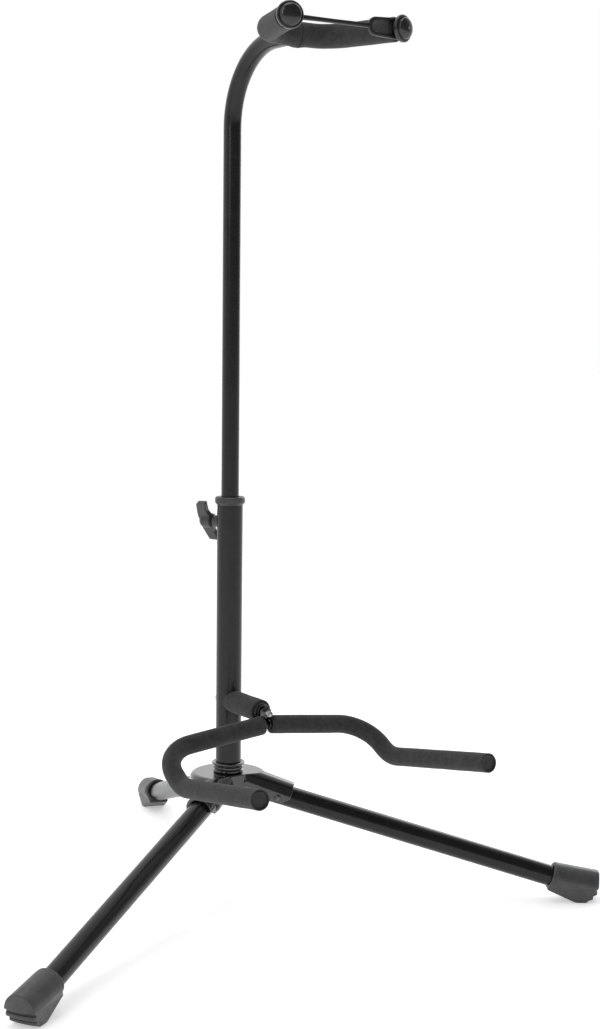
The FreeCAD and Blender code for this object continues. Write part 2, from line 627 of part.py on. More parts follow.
def yoke_rod_shape():
    points = yoke_points()
    first = stepped(points[0], points[1], -size("cap_bore"))
    last = stepped(points[3], points[2], -size("cap_bore"))
    return swept([first, points[1], points[2], last], size("yoke_bend_r"), size("yoke_rod_r"))


def yoke_cap_profile(name):
    neck = "Size.cap_neck"
    top = "Size.cap_neck + Size.cap_flange"
    return turned(name, [
        ("Size.yoke_rod_r", "0"), ("Size.cap_neck_r", "0"), ("Size.cap_neck_r", neck),
        ("Size.cap_flange_r - 1.2", neck), ("Size.cap_flange_r", neck + " + 1.2"),
        ("Size.cap_flange_r", top + " - 1.2"), ("Size.cap_flange_r - 1.2", top),
        ("Size.cap_dome_r", top), ("Size.cap_dome_r", top + " + 0.35 * Size.cap_dome"),
        ("Size.cap_dome_r - 2.2", top + " + 0.8 * Size.cap_dome"),
        ("Size.cap_dome_r - 5.5", top + " + Size.cap_dome"), ("0", top + " + Size.cap_dome"),
        ("0", "Size.cap_bore"), ("Size.yoke_rod_r", "Size.cap_bore"),
    ])


def yoke(rod, mast_outer):
    feature("YokeRod", "yoke_rod", rod)
    points = yoke_points()
    caps = []
    sleeves = []
    for side, sign, corner, tip in (("left", -1, points[1], points[0]),
                                    ("right", 1, points[2], points[3])):
        middle = Vector(sign * 0.2, corner.y, corner.z)
        sleeve = swept([middle, corner, tip], size("yoke_bend_r"), size("yoke_foam_r"))
        sleeve = sleeve.cut(rod).cut(mast_outer.Shape)
        sleeves.append(feature("YokeFoam" + side.title(), f"yoke_foam_{side}", sleeve))
        cap = yoke_cap_profile("YokeCap" + side.title())
        cap.Label = f"yoke_cap_{side}"
        cap.Placement.Rotation = Rotation(Z_AXIS, tip - corner)
        bind(cap, PositionX=f"{sign} * Size.yoke_tip_x", PositionY="Size.post_y - Size.yoke_tip_y",
             PositionZ="Size.mast_top_z")
        pieces.append(cap)
        caps.append(cap)
    doc.recompute()
    neck_strap(caps + sleeves, points)


def neck_strap(neighbours, points):
    """Elastic band across the yoke's mouth: small ring on one peg, long loop on the other."""
    level = size("mast_top_z")
    thick = size("strap_thick")
    peg = stepped(points[3], points[2], -size("cap_neck") / 2)
    back = peg.y + thick / 2

    def disc(x, radius):
        return Part.makeCylinder(radius, thick, Vector(x, back, level), Vector(0, -1, 0))

    def bar(start, end, half):
        return Part.makeBox(end - start, thick, 2 * half, Vector(start, back - thick, level - half))

    loop_half = size("strap_loop_half")
    hole_half = size("strap_hole_half")
    start = size("strap_loop_start")
    band = bar(-peg.x, start + loop_half - hole_half, size("strap_band") / 2)
    band = band.fuse([disc(-peg.x, size("strap_ring_r")), disc(start + loop_half, loop_half),
                      bar(start + loop_half, peg.x, loop_half), disc(peg.x, size("strap_ring_r"))])
    band = band.cut(disc(start + loop_half, hole_half).fuse(bar(start + loop_half, peg.x, hole_half)))
    shift = Vector(0, size("post_y"), 0)
    for item in neighbours:
        tool = item.Shape.copy()
        tool.translate(-shift)
        band = band.cut(tool)
    for tip, corner in ((points[0], points[1]), (points[3], points[2])):
        band = band.cut(tube_between(tip, stepped(tip, corner, -20), size("cap_neck_r")))
    largest = max(band.Solids, key=lambda solid: solid.Volume)
    feature("NeckStrap", "neck_strap", largest)


post_tube()
height_collar()
base_collar()
hub_fixing()
leg_housing()
leg_rivets()
for leg_side, leg_turn in LEG_TURNS.items():
    leg_tube(leg_side, leg_turn)
    foot(leg_side, leg_turn)
clutch()
cradle_mounting()
cradle_tab()
cradle()
glide_bush()
yoke_rod = yoke_rod_shape()
mast_solid = mast_tube(yoke_rod)
doc.recompute()
yoke(yoke_rod, mast_solid)
doc.recompute()

for item in doc.Objects:
    if "Invalid" in item.State or "Error" in item.State:
        raise RuntimeError(f"{item.Name} failed: {item.State}")
for item in pieces:
    if item.Shape.isNull() or not item.Shape.isValid():
        raise RuntimeError(f"{item.Label} has no valid shape")

os.makedirs("parts", exist_ok=True)
box = FreeCAD.BoundBox()
for item in pieces:
    item.Shape.exportStep(os.path.join("parts", item.Label + ".step"))
    box.add(item.Shape.BoundBox)
    print(f"{item.Label:20s} solids {len(item.Shape.Solids)} volume {item.Shape.Volume / 1000:8.2f} cm3")
print("box", box)
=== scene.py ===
import json
import math

import bmesh
import bpy
from mathutils import Matrix, Vector, noise


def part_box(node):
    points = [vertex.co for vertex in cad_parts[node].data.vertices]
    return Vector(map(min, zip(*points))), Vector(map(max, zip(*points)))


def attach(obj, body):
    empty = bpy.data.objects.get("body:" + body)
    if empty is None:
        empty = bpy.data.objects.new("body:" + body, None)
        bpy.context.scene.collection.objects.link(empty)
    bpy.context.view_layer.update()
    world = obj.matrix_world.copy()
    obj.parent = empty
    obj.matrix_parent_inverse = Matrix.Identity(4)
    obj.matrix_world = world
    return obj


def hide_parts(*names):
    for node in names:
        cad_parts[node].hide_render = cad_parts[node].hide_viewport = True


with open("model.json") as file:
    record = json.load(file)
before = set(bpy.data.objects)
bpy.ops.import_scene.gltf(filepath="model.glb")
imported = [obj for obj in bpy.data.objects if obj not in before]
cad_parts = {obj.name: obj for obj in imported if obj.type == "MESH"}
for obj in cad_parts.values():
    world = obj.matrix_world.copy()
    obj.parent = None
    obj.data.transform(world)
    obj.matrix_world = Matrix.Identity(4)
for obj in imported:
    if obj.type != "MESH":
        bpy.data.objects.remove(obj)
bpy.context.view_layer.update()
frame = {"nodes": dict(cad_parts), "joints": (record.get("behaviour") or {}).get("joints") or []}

MM = 0.001
LEGS = ("left", "right", "rear")
scene = bpy.context.scene
joints = {joint["name"]: joint for joint in frame["joints"]}


# ---------------------------------------------------------------- places in the row frame

def middle(node):
    """Middle of a node's box."""
    low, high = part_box(node)
    return (low + high) / 2


def millimetres(origin, x, y, z):
    """Frame in millimetres with the given axes, at a point given in metres."""
    pose = Matrix((x, y, z)).transposed().to_4x4()
    pose.translation = Vector(origin)
    return pose @ Matrix.Scale(MM, 4)


def aimed(origin, axis, across=(0.0, 0.0, 1.0)):
    """Frame in millimetres whose Z runs along an axis and whose X leans towards another direction."""
    z = Vector(axis).normalized()
    x = Vector(across)
    x = (x - z * x.dot(z)).normalized()
    return millimetres(origin, x, z.cross(x), z)


X, Y, Z = Vector((1, 0, 0)), Vector((0, 1, 0)), Vector((0, 0, 1))
post = middle("lower_tube")


def post_at(height):
    """Frame in millimetres with the row's axes, on the post's axis at a height in metres."""
    return millimetres((post.x, post.y, height), X, Y, Z)


POST = post_at(0)


# ---------------------------------------------------------------- camera, floor and light

# the fitted camera: angles in degrees, lengths in millimetres from the post's foot
CAMERA_TURN, CAMERA_PITCH, CAMERA_ROLL = -33.2427, 6.1804, 0.6268
CAMERA_AWAY, CAMERA_ASIDE, CAMERA_HEIGHT = 1735.699, 69.2207, 578.796
SENSOR_WIDTH = 36
# focal length and picture height, both in the photograph's pixels
FOCAL_PIXELS, PICTURE_PIXELS = 1766.56, 1029

AZIMUTH = math.radians(CAMERA_TURN)
NEAR_SIDE = Vector((math.sin(AZIMUTH), -math.cos(AZIMUTH), 0))
RIGHT_SIDE = Vector((math.cos(AZIMUTH), math.sin(AZIMUTH), 0))


def aim_camera():
    """The photograph's view: from the front left, above the stand's middle, looking slightly down."""
    pitch, roll = math.radians(CAMERA_PITCH), math.radians(CAMERA_ROLL)
    spot = POST @ (NEAR_SIDE * CAMERA_AWAY + RIGHT_SIDE * CAMERA_ASIDE + Z * CAMERA_HEIGHT)
    forward = -NEAR_SIDE * math.cos(pitch) - Z * math.sin(pitch)
    up = Z * math.cos(pitch) - NEAR_SIDE * math.sin(pitch)
    across = RIGHT_SIDE * math.cos(roll) + up * math.sin(roll)
    above = up * math.cos(roll) - RIGHT_SIDE * math.sin(roll)
    pose = Matrix((across, above, -forward)).transposed().to_4x4()
    pose.translation = spot
    data = bpy.data.cameras.new("View")
    data.sensor_width = SENSOR_WIDTH
    data.lens = SENSOR_WIDTH * FOCAL_PIXELS / PICTURE_PIXELS
    data.clip_start, data.clip_end = 0.05, 60
    camera = bpy.data.objects.new("View", data)
    scene.collection.objects.link(camera)
    camera.matrix_world = pose
    scene.camera = camera


def build_floor(material):
    """Square floor a hair below the soles; sizes in metres."""
    reach, drop = 14.0, 0.0002
    corners = [(-reach, -reach, 0), (reach, -reach, 0), (reach, reach, 0), (-reach, reach, 0)]
    mesh = bpy.data.meshes.new("Floor")
    mesh.from_pydata(corners, [], [(0, 1, 2, 3)])
    floor = bpy.data.objects.new("Floor", mesh)
    floor.location.z = -drop
    scene.collection.objects.link(floor)
    mesh.materials.append(material)


def softbox(name, spot, target, width, height, watts):
    """Rectangular area light aimed at a point; lengths in metres."""
    data = bpy.data.lights.new(name, "AREA")
    data.shape = "RECTANGLE"
    data.size, data.size_y = width, height
    data.energy = watts
    light = bpy.data.objects.new(name, data)
    light.location = spot
    light.rotation_euler = (Vector(target) - Vector(spot)).to_track_quat("-Z", "Y").to_euler()
    scene.collection.objects.link(light)


def light_studio():
    """White studio, bright behind the stand and to its left, dim on the near side, and three soft boxes.

    The sky dims with a direction's lean towards the near right; the camera itself sees plain white.
    """
    rightward = 0.55
    lean_bright, lean_dim = -0.45, 0.55
    bright, dim = 1.0, 0.17
    world = bpy.data.worlds.new("Studio")
    scene.world = world
    world.use_nodes = True
    tree = world.node_tree
    place = tree.nodes.new("ShaderNodeTexCoord")
    lean = tree.nodes.new("ShaderNodeVectorMath")
    lean.operation = "DOT_PRODUCT"
    lean.inputs[1].default_value = NEAR_SIDE + RIGHT_SIDE * rightward
    fall = tree.nodes.new("ShaderNodeMapRange")
    fall.interpolation_type = "SMOOTHSTEP"
    fall.inputs["From Min"].default_value = lean_bright
    fall.inputs["From Max"].default_value = lean_dim
    fall.inputs["To Min"].default_value = bright
    fall.inputs["To Max"].default_value = dim
    sky = tree.nodes["Background"]
    sky.inputs["Color"].default_value = (1, 1, 1, 1)
    plain = tree.nodes.new("ShaderNodeBackground")
    plain.inputs["Color"].default_value = (1, 1, 1, 1)
    path = tree.nodes.new("ShaderNodeLightPath")
    mix = tree.nodes.new("ShaderNodeMixShader")
    tree.links.new(place.outputs["Generated"], lean.inputs[0])
    tree.links.new(lean.outputs["Value"], fall.inputs["Value"])
    tree.links.new(fall.outputs["Result"], sky.inputs["Strength"])
    tree.links.new(path.outputs["Is Camera Ray"], mix.inputs["Fac"])
    tree.links.new(sky.outputs["Background"], mix.inputs[1])
    tree.links.new(plain.outputs["Background"], mix.inputs[2])
    tree.links.new(mix.outputs["Shader"], tree.nodes["World Output"].inputs["Surface"])
    aim = (0, 0, 0.4)
    softbox("KeyLeft", (-2.3, -1.2, 1.9), aim, 0.9, 2.4, 14)
    softbox("RimRight", (2.1, 1.2, 1.5), aim, 0.7, 2.2, 10)
    softbox("Top", (-0.2, -0.3, 2.9), (0, 0, 0), 1.4, 1.4, 12)
    scene.view_settings.view_transform = "Standard"


# ---------------------------------------------------------------- materials

def object_texture(tree, kind, scale, **settings):
    """Procedural texture laid out in the piece's own space."""
    place = tree.nodes.get("Place") or tree.nodes.new("ShaderNodeTexCoord")
    place.name = "Place"
    texture = tree.nodes.new(kind)
    texture.inputs["Scale"].default_value = scale
    for name, value in settings.items():
        texture.inputs[name].default_value = value
    tree.links.new(place.outputs["Object"], texture.inputs["Vector"])
    return texture


def ramp(tree, source, stops):
    """Colour ramp over a texture's value; stops are (position, colour)."""
    node = tree.nodes.new("ShaderNodeValToRGB")
    band = node.color_ramp
    while len(band.elements) < len(stops):
        band.elements.new(0.5)
    for element, (position, colour) in zip(band.elements, stops):
        element.position = position
        element.color = (*colour, 1) if len(colour) == 3 else colour
    tree.links.new(source, node.inputs["Fac"])
    return node


def spread(tree, source, low, high):
    """Maps a texture's middle range, 0.3 to 0.7, to low..high."""
    node = tree.nodes.new("ShaderNodeMapRange")
    node.inputs["From Min"].default_value = 0.3
    node.inputs["From Max"].default_value = 0.7
    node.inputs["To Min"].default_value = low
    node.inputs["To Max"].default_value = high
    tree.links.new(source, node.inputs["Value"])
    return node


def grey(value):
    """Neutral tone with a trace of blue."""
    return (value, value, value * 1.01)


def bumped(tree, shader, layers):
    """Chain of bumps: (height output, strength, depth in mm)."""
    before = None
    for height, strength, depth in layers:
        bump = tree.nodes.new("ShaderNodeBump")
        bump.inputs["Strength"].default_value = strength
        bump.inputs["Distance"].default_value = depth * MM
        tree.links.new(height, bump.inputs["Height"])
        if before is not None:
            tree.links.new(before.outputs["Normal"], bump.inputs["Normal"])
        before = bump
    tree.links.new(before.outputs["Normal"], shader.inputs["Normal"])


def surface(name, tones, rough, mottle_scale, layers, specks=None, **sockets):
    """Principled finish: mottled tone, uneven roughness, bump layers and specks.

    A layer is (kind, scale, strength, depth in mm); specks are (scale, amount, tone).
    """
    material = bpy.data.materials.new(name)
    material.use_nodes = True
    tree = material.node_tree
    shader = tree.nodes["Principled BSDF"]
    for socket, value in sockets.items():
        shader.inputs[socket.replace("_", " ")].default_value = value
    mottle = object_texture(tree, "ShaderNodeTexNoise", mottle_scale, Detail=5.0, Roughness=0.6)
    tone = ramp(tree, mottle.outputs["Fac"], [(0.32, grey(tones[0])), (0.5, grey(sum(tones) / 2)),
                                              (0.68, grey(tones[1]))])
    tree.links.new(tone.outputs["Color"], shader.inputs["Base Color"])
    patch = object_texture(tree, "ShaderNodeTexNoise", mottle_scale * 2.3, Detail=4.0)
    roughness = spread(tree, patch.outputs["Fac"], *rough)
    tree.links.new(roughness.outputs["Result"], shader.inputs["Roughness"])
    heights = []
    for kind, scale, strength, depth in layers:
        if kind == "cells":
            texture = object_texture(tree, "ShaderNodeTexVoronoi", scale)
            heights.append((texture.outputs["Distance"], strength, depth))
        else:
            texture = object_texture(tree, "ShaderNodeTexNoise", scale, Detail=3.0)
            heights.append((texture.outputs["Fac"], strength, depth))
    bumped(tree, shader, heights)
    if specks:
        speckle(tree, shader, *specks)
    return material


def speckle(tree, shader, scale, amount, tone):
    """Scatters fine specks of another tone over the base colour."""
    source = shader.inputs["Base Color"].links[0].from_socket
    specks = object_texture(tree, "ShaderNodeTexNoise", scale, Detail=2.0)
    mask = ramp(tree, specks.outputs["Fac"], [(0.62, (0, 0, 0)), (0.78, (amount, amount, amount))])
    mix = tree.nodes.new("ShaderNodeMix")
    mix.data_type = "RGBA"
    tree.links.new(mask.outputs["Color"], mix.inputs["Factor"])
    tree.links.new(source, mix.inputs["A"])
    mix.inputs["B"].default_value = (*grey(tone), 1)
    tree.links.new(mix.outputs["Result"], shader.inputs["Base Color"])


def make_materials():
    """Every finish of the stand, and the floor's, by the name its slot has."""
    return {
        "black_paint": surface(
            "SatinBlackPaint", (0.005, 0.009), (0.19, 0.28), 60,
            [("noise", 900, 0.06, 0.04), ("noise", 160, 0.03, 0.1)], specks=(700, 0.4, 0.03),
            Coat_Weight=0.08, Coat_Roughness=0.12, Specular_IOR_Level=0.34),
        "gloss_black": surface(
            "GlossBlackEnamel", (0.006, 0.013), (0.13, 0.2), 80,
            [("noise", 260, 0.05, 0.08)], specks=(900, 0.35, 0.06),
            Coat_Weight=0.8, Coat_Roughness=0.06),
        "dark_steel": surface(
            "BlackenedSteel", (0.07, 0.17), (0.24, 0.42), 420,
            [("noise", 2400, 0.2, 0.03), ("noise", 500, 0.1, 0.05)], Metallic=1.0),
        "bright_steel": surface(
            "ZincPlatedSteel", (0.26, 0.42), (0.2, 0.36), 500,
            [("noise", 2600, 0.2, 0.03)], Metallic=1.0),
        "grey_plastic": surface(
            "GreyMouldedPlastic", (0.030, 0.046), (0.3, 0.42), 120,
            [("cells", 1900, 0.25, 0.05), ("noise", 500, 0.1, 0.05)]),
        "black_plastic": surface(
            "BlackMouldedPlastic", (0.012, 0.022), (0.4, 0.55), 120,
            [("cells", 1900, 0.25, 0.05)]),
        "gloss_plastic": surface(
            "GlossBlackPlastic", (0.008, 0.016), (0.16, 0.26), 140,
            [("noise", 420, 0.08, 0.06)], specks=(1200, 0.3, 0.06),
            Coat_Weight=0.3, Coat_Roughness=0.08),
        "foam": surface(
            "ClosedCellFoam", (0.026, 0.044), (0.9, 1.0), 180,
            [("cells", 1500, 0.6, 0.14), ("noise", 3200, 0.5, 0.08), ("noise", 300, 0.25, 0.3)],
            specks=(2600, 0.5, 0.07), Sheen_Weight=0.12, Sheen_Roughness=0.5, Specular_IOR_Level=0.25),
        "rubber": surface(
            "GreyRubber", (0.046, 0.074), (0.34, 0.48), 70,
            [("cells", 1300, 0.3, 0.06), ("noise", 300, 0.12, 0.1)], specks=(800, 0.5, 0.12),
            Specular_IOR_Level=0.45),
        "strap_rubber": surface(
            "BlackStrapRubber", (0.010, 0.020), (0.26, 0.38), 200,
            [("noise", 900, 0.15, 0.06)]),
        "floor": surface(
            "PaleFloor", (0.95, 0.97), (0.7, 0.85), 3,
            [("noise", 90, 0.02, 0.1)], Specular_IOR_Level=0.1,
            Emission_Color=(1, 1, 1, 1), Emission_Strength=0.42),
    }


# ---------------------------------------------------------------- mesh building

def piece(name, solids, sharp=35.0):
    """Object made from (vertices, faces) pairs, smooth except at edges sharper than the angle."""
    mesh = bpy.data.meshes.new(name)
    vertices, faces = [], []
    for points, loops in solids:
        first = len(vertices)
        vertices.extend(tuple(point) for point in points)
        faces.extend(tuple(first + index for index in loop) for loop in loops)
    mesh.from_pydata(vertices, [], faces)
    work = bmesh.new()
    work.from_mesh(mesh)
    bmesh.ops.recalc_face_normals(work, faces=work.faces)
    work.to_mesh(mesh)
    work.free()
    mesh.shade_smooth()
    mesh.set_sharp_from_angle(angle=math.radians(sharp))
    item = bpy.data.objects.new(name, mesh)
    scene.collection.objects.link(item)
    return item


def skin(rings, closed=False):
    """Faces between rings of points; a ring of one point is a pole."""
    vertices, starts = [], []
    for ring in rings:
        starts.append(len(vertices))
        vertices.extend(ring)
    pairs = list(zip(range(len(rings) - 1), range(1, len(rings))))
    if closed:
        pairs.append((len(rings) - 1, 0))
    faces = []
    for a, b in pairs:
        count = max(len(rings[a]), len(rings[b]))
        for i in range(count):
            j = (i + 1) % count
            if len(rings[a]) == 1:
                faces.append((starts[a], starts[b] + j, starts[b] + i))
            elif len(rings[b]) == 1:
                faces.append((starts[a] + i, starts[a] + j, starts[b]))
            else:
                faces.append((starts[a] + i, starts[a] + j, starts[b] + j, starts[b] + i))
    return vertices, faces


def capped(rings):
    """Faces between rings, closed by a flat face at each end."""
    vertices, faces = skin(rings)
    faces.append(tuple(range(len(rings[0]))))
    faces.append(tuple(reversed(range(len(vertices) - len(rings[-1]), len(vertices)))))
    return vertices, faces


def rounded(corners, closed=False, segments=5):
    """Profile points (radius, height) where a third number rounds the corner."""
    out = []
    count = len(corners)
    for index, corner in enumerate(corners):
        here = Vector(corner[:2])
        radius = corner[2] if len(corner) > 2 else 0
        if not radius or (not closed and index in (0, count - 1)):
            out.append(here)
            continue
        before = Vector(corners[index - 1][:2]) - here
        after = Vector(corners[(index + 1) % count][:2]) - here
        half = before.angle(after) / 2
        reach = min(radius / math.tan(half), 0.49 * before.length, 0.49 * after.length)
        radius = reach * math.tan(half)
        start = here + before.normalized() * reach
        end = here + after.normalized() * reach
        centre = here + (before.normalized() + after.normalized()).normalized() * (radius / math.sin(half))
        for step in range(segments + 1):
            out.append(centre + (start - centre).lerp(end - centre, step / segments).normalized() * radius)
    return out


def turned(profile, place, steps=72, closed=False, shape=None):
    """Skin turned from a profile; shape(radius, height, angle) may give another radius."""
    rings = []
    for radius, height in profile:
        if radius < 1e-6:       # on the axis: a pole
            rings.append([place @ Vector((0, 0, height))])
            continue
        ring = []
        for step in range(steps):
            angle = 2 * math.pi * step / steps
            reach = shape(radius, height, angle) if shape else radius
            ring.append(place @ Vector((reach * math.cos(angle), reach * math.sin(angle), height)))
        rings.append(ring)
    return skin(rings, closed)


def bake_modifiers(item):
    """Turns a piece's modifiers into its mesh."""
    finished = item.evaluated_get(bpy.context.evaluated_depsgraph_get())
    mesh = bpy.data.meshes.new_from_object(finished)
    item.modifiers.clear()
    item.data = mesh
    mesh.shade_smooth()


def moulded(item, voxel, passes):
    """Fuses a piece's overlapping solids and softens every edge, as a mould or a press does."""
    melt = item.modifiers.new("Melt", "REMESH")
    melt.mode = "VOXEL"
    melt.voxel_size = voxel * MM
    melt.use_smooth_shade = True
    soften = item.modifiers.new("Soften", "SMOOTH")
    soften.factor = 0.5
    soften.iterations = passes
    bpy.context.view_layer.update()
    bake_modifiers(item)


def hang(item, body, material, slot, *nodes):
    """Puts a finished piece on its body, in place of its CAD nodes."""
    item.data.materials.clear()
    item.data.materials.append(MATERIALS[material])
    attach(item, body)
    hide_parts(*nodes)


def carry_over(node, material):
    """Gives a CAD node that stays a finished material."""
    for slot in frame["nodes"][node].material_slots:
        slot.material = MATERIALS[material]


MATERIALS = make_materials()
aim_camera()
build_floor(MATERIALS["floor"])
light_studio()


# ---------------------------------------------------------------- post, collars and hub

def build_post():
    """Plain tubes, rods and hidden parts stay as the CAD's meshes."""
    for node in ("lower_tube", "yoke_rod", "cradle_rod_left", "cradle_rod_right",
                 "leg_tube_left", "leg_tube_right", "leg_tube_rear"):
        carry_over(node, "black_paint")
    carry_over("glide_bush", "black_plastic")
    carry_over("tube_base_plug", "black_plastic")
    for node in ("clutch_stud", "hub_washer", "spacer_tube"):
        carry_over(node, "dark_steel")


def build_height_collar():
    """Moulded cap of the lower tube: sleeve inside, tapered lip, flat bevelled top with the mast's hole."""
    top = post_at(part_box("height_collar")[1].z)
    profile = rounded([
        (8.75, -16.2), (11.3, -16.2, 0.3), (11.3, -8.3), (12.75, -8.2, 0.3), (14.85, -5.6, 0.6),
        (14.9, -1.3, 0.4), (13.6, 0.0, 0.6), (10.2, 0.0, 0.5), (9.6, -0.7, 0.3), (8.75, -1.0, 0.2)],
        closed=True)
    hang(piece("height_collar_moulding", [turned(profile, top, closed=True)]),
         "base", "grey_plastic", "grey_plastic", "height_collar")


def build_base_collar():
    """Sleeve with three rolled beads, the top one a wider flared lip."""
    low = post_at(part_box("base_collar")[0].z)
    profile = rounded([
        (12.75, 0), (14.0, 0.0, 0.3), (15.1, 0.9, 0.8), (15.1, 2.6, 0.9), (13.7, 3.5, 0.35),
        (15.1, 4.3, 0.9), (15.1, 6.2, 0.9), (13.7, 7.0, 0.35), (14.9, 7.6, 0.5), (16.5, 8.6, 0.6),
        (16.5, 10.0, 0.6), (15.4, 10.5, 0.4), (14.2, 9.9, 0.5), (12.75, 10.1, 0.2)], closed=True)
    hang(piece("base_collar_beads", [turned(profile, low, steps=96, closed=True)]),
         "base", "gloss_black", "gloss_black", "base_collar")


def build_hub():
    """Pressed hub with its three channels; the pressing's edges are softened."""
    source = frame["nodes"]["leg_housing"]
    hub = bpy.data.objects.new("hub_pressing", source.data.copy())
    scene.collection.objects.link(hub)
    moulded(hub, voxel=0.62, passes=7)
    hang(hub, "base", "gloss_black", "gloss_black", "leg_housing")


def build_rivets():
    """A shank with a domed head at each side of every channel."""
    profile = rounded([
        (0, -15.9), (1.6, -15.8, 1.0), (3.0, -15.1, 0.8), (3.4, -14.2, 0.2), (2.45, -14.15), (2.45, 14.15),
        (3.4, 14.2, 0.2), (3.0, 15.1, 0.8), (1.6, 15.8, 1.0), (0, 15.9)])
    solids = []
    for side in LEGS:
        joint = joints[f"leg_{side}_fold"]
        solids.append(turned(profile, aimed(joint["pos_m"], joint["axis"]), steps=40))
    hang(piece("leg_rivet_heads", solids), "base", "dark_steel", "dark_steel", "leg_rivets")


def hexagon(across_flats, cone):
    """Shape rule for a chamfered hexagon: its outside follows six flats, cut back by a cone."""
    def rule(radius, height, angle):
        apothem = across_flats / 2
        flat = apothem / math.cos((angle % (math.pi / 3)) - math.pi / 6)
        return min(flat, cone(height)) if radius > apothem * 0.8 else radius
    return rule


def build_hub_bolt():
    """Hexagon head under the hub, with its chamfer, and the shank up into the tube's plug."""
    low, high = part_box("hub_bolt")
    length = (high.z - low.z) / MM
    profile = [Vector(level) for level in (
        (0, 0.3), (4.5, 0.3), (5.6, 0.0), (6.2, 0.0), (6.9, 0.25), (7.5, 0.6), (7.5, 1.0), (7.5, 3.0),
        (7.5, 5.3), (4.0, 5.3), (4.0, length - 0.6), (3.4, length), (0, length))]
    cone_foot, cone_slope = 6.4, 1.9
    shape = hexagon(13.0, lambda height: cone_foot + height * cone_slope)
    hang(piece("hub_bolt_hex", [turned(profile, post_at(low.z), shape=shape)], sharp=30),
         "base", "dark_steel", "dark_steel", "hub_bolt")


# ---------------------------------------------------------------- clutch

def knob_axis():
    """Point on the clutch screw's line and its direction, out of the post."""
    joint = joints["knob_turn"]
    return Vector(joint["pos_m"]), Vector(joint["axis"]).normalized()


def build_clutch_boss():
    """Round boss on the tube's back with a rolled outer edge."""
    spot, axis = knob_axis()
    profile = rounded([
        (3.12, 11.0), (5.8, 11.0), (5.8, 18.6, 1.1), (4.3, 18.6, 0.4), (3.9, 18.2, 0.2), (3.12, 18.2)],
        closed=True)
    hang(piece("clutch_boss_round", [turned(profile, aimed(spot, axis), steps=56, closed=True)]),
         "base", "grey_plastic", "grey_plastic", "clutch_boss")


def build_wing_knob():
    """Two swept wings on a round barrel, melted together like one moulding."""
    spot, axis = knob_axis()
    tilt, half = math.radians(33), 2.7          # the wings' lean from upright and their half thickness
    level = Z.cross(axis).normalized()
    if level.x > 0:
        level = -level
    wing = Z * math.cos(tilt) + level * math.sin(tilt)
    place = aimed(spot, axis, across=wing)
    barrel = rounded([
        (3.1, 19.7), (5.9, 19.7, 0.3), (6.1, 20.6, 0.3), (7.3, 20.4, 0.5), (7.4, 24), (7.4, 30.5, 2),
        (5.6, 33.2, 2.0), (0, 33.4)])
    barrel += [Vector((0, 31.4)), Vector((3.1, 31.4)), Vector((3.1, 19.7))]
    outline = rounded([
        (6.2, 20.5), (12, 22.5, 5), (23.0, 20.7, 1.0), (22.4, 31.2, 1.4), (8, 34.3, 6),
        (-8, 34.3, 6), (-22.4, 31.2, 1.4), (-23.0, 20.7, 1.0), (-12, 22.5, 5), (-6.2, 20.5)],
        segments=6)
    wings = capped([[place @ Vector((x, y, z)) for x, z in outline] for y in (half, -half)])
    knob = piece("wing_knob_moulding", [turned(barrel, place, steps=64), wings])
    moulded(knob, voxel=0.34, passes=4)
    hang(knob, "knob", "grey_plastic", "grey_plastic", "wing_knob")


# ---------------------------------------------------------------- bent sleeves

ROD_RADIUS = 4.8        # the cradle's and the yoke's hidden rods, which the foam sleeves fit
FOAM_SKIN = 2.5         # how deep below a foam's outside its unevenness reaches


def bent_path(points, bend_r, step=0.5):
    """Samples along straight runs joined by arcs of one radius."""
    samples = [points[0]]

    def run_to(end):
        start = samples[-1]
        count = max(1, round((end - start).length / step))
        samples.extend(start.lerp(end, (i + 1) / count) for i in range(count))

    for before, corner, after in zip(points, points[1:], points[2:]):
        back = (before - corner).normalized()
        ahead = (after - corner).normalized()
        half = back.angle(ahead) / 2
        centre = corner + (back + ahead).normalized() * (bend_r / math.sin(half))
        enter = corner + back * (bend_r / math.tan(half))
        leave = corner + ahead * (bend_r / math.tan(half))
        run_to(enter)
        sweep = math.pi - 2 * half
        count = max(2, round(bend_r * sweep / step))
        axis = (enter - centre).cross(leave - centre).normalized()
        for i in range(count):
            samples.append(centre + Matrix.Rotation(sweep * (i + 1) / count, 3, axis) @ (enter - centre))
    run_to(points[-1])
    return samples


class Spine:
    """Centreline with a frame that turns as little as it can along its length."""

    def __init__(self, samples):
        self.points = samples
        self.along = [0.0]
        for a, b in zip(samples, samples[1:]):
            self.along.append(self.along[-1] + (b - a).length)
        self.length = self.along[-1]
        tangents = [(b - a).normalized() for a, b in zip(samples, samples[1:])]
        tangents.append(tangents[-1])
        side = tangents[0].cross(Z if abs(tangents[0].z) < 0.9 else Y).normalized()
        self.frames = []
        for tangent in tangents:
            side = (side - tangent * side.dot(tangent)).normalized()
            self.frames.append((tangent, side, side.cross(tangent)))

    def at(self, distance):
        """Point, forward, side and up at a distance along the line, straight on beyond its ends."""
        if distance <= 0:
            tangent, side, up = self.frames[0]
            return self.points[0] + tangent * distance, tangent, side, up
        if distance >= self.length:
            tangent, side, up = self.frames[-1]
            return self.points[-1] + tangent * (distance - self.length), tangent, side, up
        low, high = 0, len(self.along) - 1
        while high - low > 1:
            mid = (low + high) // 2
            low, high = (mid, high) if self.along[mid] <= distance else (low, mid)
        share = (distance - self.along[low]) / (self.along[high] - self.along[low])
        tangent, side, up = self.frames[low]
        return self.points[low].lerp(self.points[high], share), tangent, side, up


